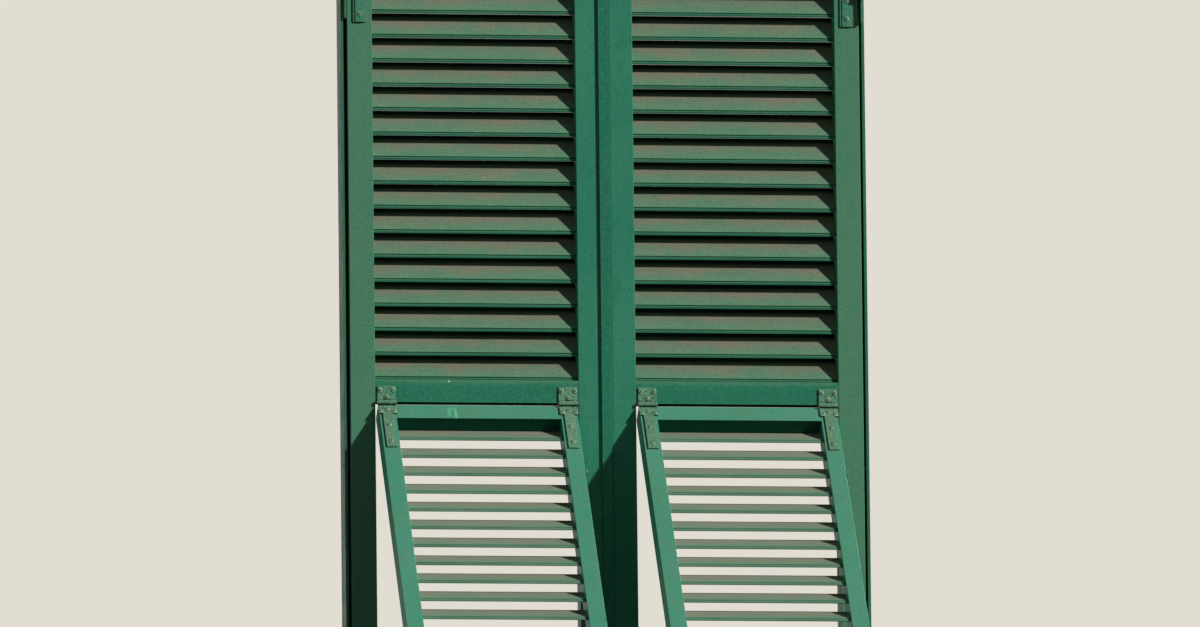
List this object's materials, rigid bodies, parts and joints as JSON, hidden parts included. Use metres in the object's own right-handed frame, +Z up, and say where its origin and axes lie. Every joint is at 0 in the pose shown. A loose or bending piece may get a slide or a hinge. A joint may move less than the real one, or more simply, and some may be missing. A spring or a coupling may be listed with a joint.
{
  "type": "louvred shutters",
  "caption": "Pair of green louvred window shutters in their frame, each leaf with a lower flap hung from its middle rail and held out at the bottom.",
  "frame": {"origin": "middle of the underside of the frame's sill", "axes": "+Z up, +X to the right seen from outside, +Y through the wall into the room"},
  "size_m": [1.077, 0.582, 1.844],
  "materials": {
    "frame_paint": "satin paint",
    "leaf_paint": "satin paint",
    "slat_paint": "dusty satin paint",
    "hinge_paint": "worn paint",
    "bare_steel": "dull zinc",
    "rubber": "matt",
    "plastic": "matt"
  },
  "bodies": {
    "frame": {"frame_sill": "frame_paint", "frame_head": "frame_paint", "frame_left_jamb": "frame_paint", "frame_right_jamb": "frame_paint", "frame_gasket": "rubber", "frame_left_pintles": "hinge_paint", "frame_right_pintles": "hinge_paint", "frame_lock_keeps": "hinge_paint"},
    "left_leaf": {"left_outer_stile": "leaf_paint", "left_inner_stile": "leaf_paint", "left_stile_caps": "plastic", "left_top_rail": "leaf_paint", "left_middle_rail": "leaf_paint", "left_bottom_rail": "leaf_paint", "left_slats": "slat_paint", "left_strap_hinges": "hinge_paint", "left_hinge_plates": "hinge_paint", "left_hinge_pins": "bare_steel", "left_handle_rest": "hinge_paint"},
    "left_flap": {"left_flap_left_stile": "leaf_paint", "left_flap_right_stile": "leaf_paint", "left_flap_top_rail": "leaf_paint", "left_flap_bottom_rail": "leaf_paint", "left_flap_slats": "slat_paint", "left_flap_straps": "hinge_paint", "left_stay_stud": "bare_steel"},
    "left_stay": {"left_stay_arm": "bare_steel"},
    "right_leaf": {"right_outer_stile": "leaf_paint", "right_inner_stile": "leaf_paint", "right_stile_caps": "plastic", "right_top_rail": "leaf_paint", "right_middle_rail": "leaf_paint", "right_bottom_rail": "leaf_paint", "right_slats": "slat_paint", "right_strap_hinges": "hinge_paint", "right_hinge_plates": "hinge_paint", "right_hinge_pins": "bare_steel", "right_cover_bar": "leaf_paint", "right_lock_guides": "hinge_paint"},
    "right_flap": {"right_flap_left_stile": "leaf_paint", "right_flap_right_stile": "leaf_paint", "right_flap_top_rail": "leaf_paint", "right_flap_bottom_rail": "leaf_paint", "right_flap_slats": "slat_paint", "right_flap_straps": "hinge_paint", "right_stay_stud": "bare_steel"},
    "right_stay": {"right_stay_arm": "bare_steel"},
    "right_lock": {"right_lock_rod": "hinge_paint", "right_lock_hooks": "hinge_paint", "right_lock_handle": "hinge_paint"}
  },
  "joints": [
    {"name": "right_leaf_swing", "type": "hinge", "parent": "frame", "child": "right_leaf", "pos_m": [0.5295, -0.048, 0], "axis": [0, 0, 1], "range_deg": [0, 175]},
    {"name": "left_leaf_swing", "type": "hinge", "parent": "frame", "child": "left_leaf", "pos_m": [-0.5295, -0.048, 0], "axis": [0, 0, -1], "range_deg": [0, 175]},
    {"name": "left_flap_swing", "type": "hinge", "parent": "left_leaf", "child": "left_flap", "pos_m": [0, -0.0406, 0.82752], "axis": [-1, 0, 0], "range_deg": [-37.5, 0]},
    {"name": "left_stay_fold", "type": "hinge", "parent": "left_flap", "child": "left_stay", "pos_m": [-0.064, -0.14025, 0.67762], "axis": [-1, 0, 0], "range_deg": [0, 75]},
    {"name": "right_flap_swing", "type": "hinge", "parent": "right_leaf", "child": "right_flap", "pos_m": [0, -0.0406, 0.82752], "axis": [-1, 0, 0], "range_deg": [-37.5, 0]},
    {"name": "right_stay_fold", "type": "hinge", "parent": "right_flap", "child": "right_stay", "pos_m": [0.4705, -0.14025, 0.67762], "axis": [-1, 0, 0], "range_deg": [0, 75]},
    {"name": "right_lock_turn", "type": "hinge", "parent": "right_leaf", "child": "right_lock", "pos_m": [0.0335, 0.017, 0], "axis": [0, 0, 1], "range_deg": [0, 60]}
  ],
  "couplings": [
    {"joint": "left_leaf_swing", "follows": "right_leaf_swing", "ratio": 1},
    {"joint": "left_stay_fold", "follows": "left_flap_swing", "ratio": -2},
    {"joint": "right_stay_fold", "follows": "right_flap_swing", "ratio": -2}
  ]
}
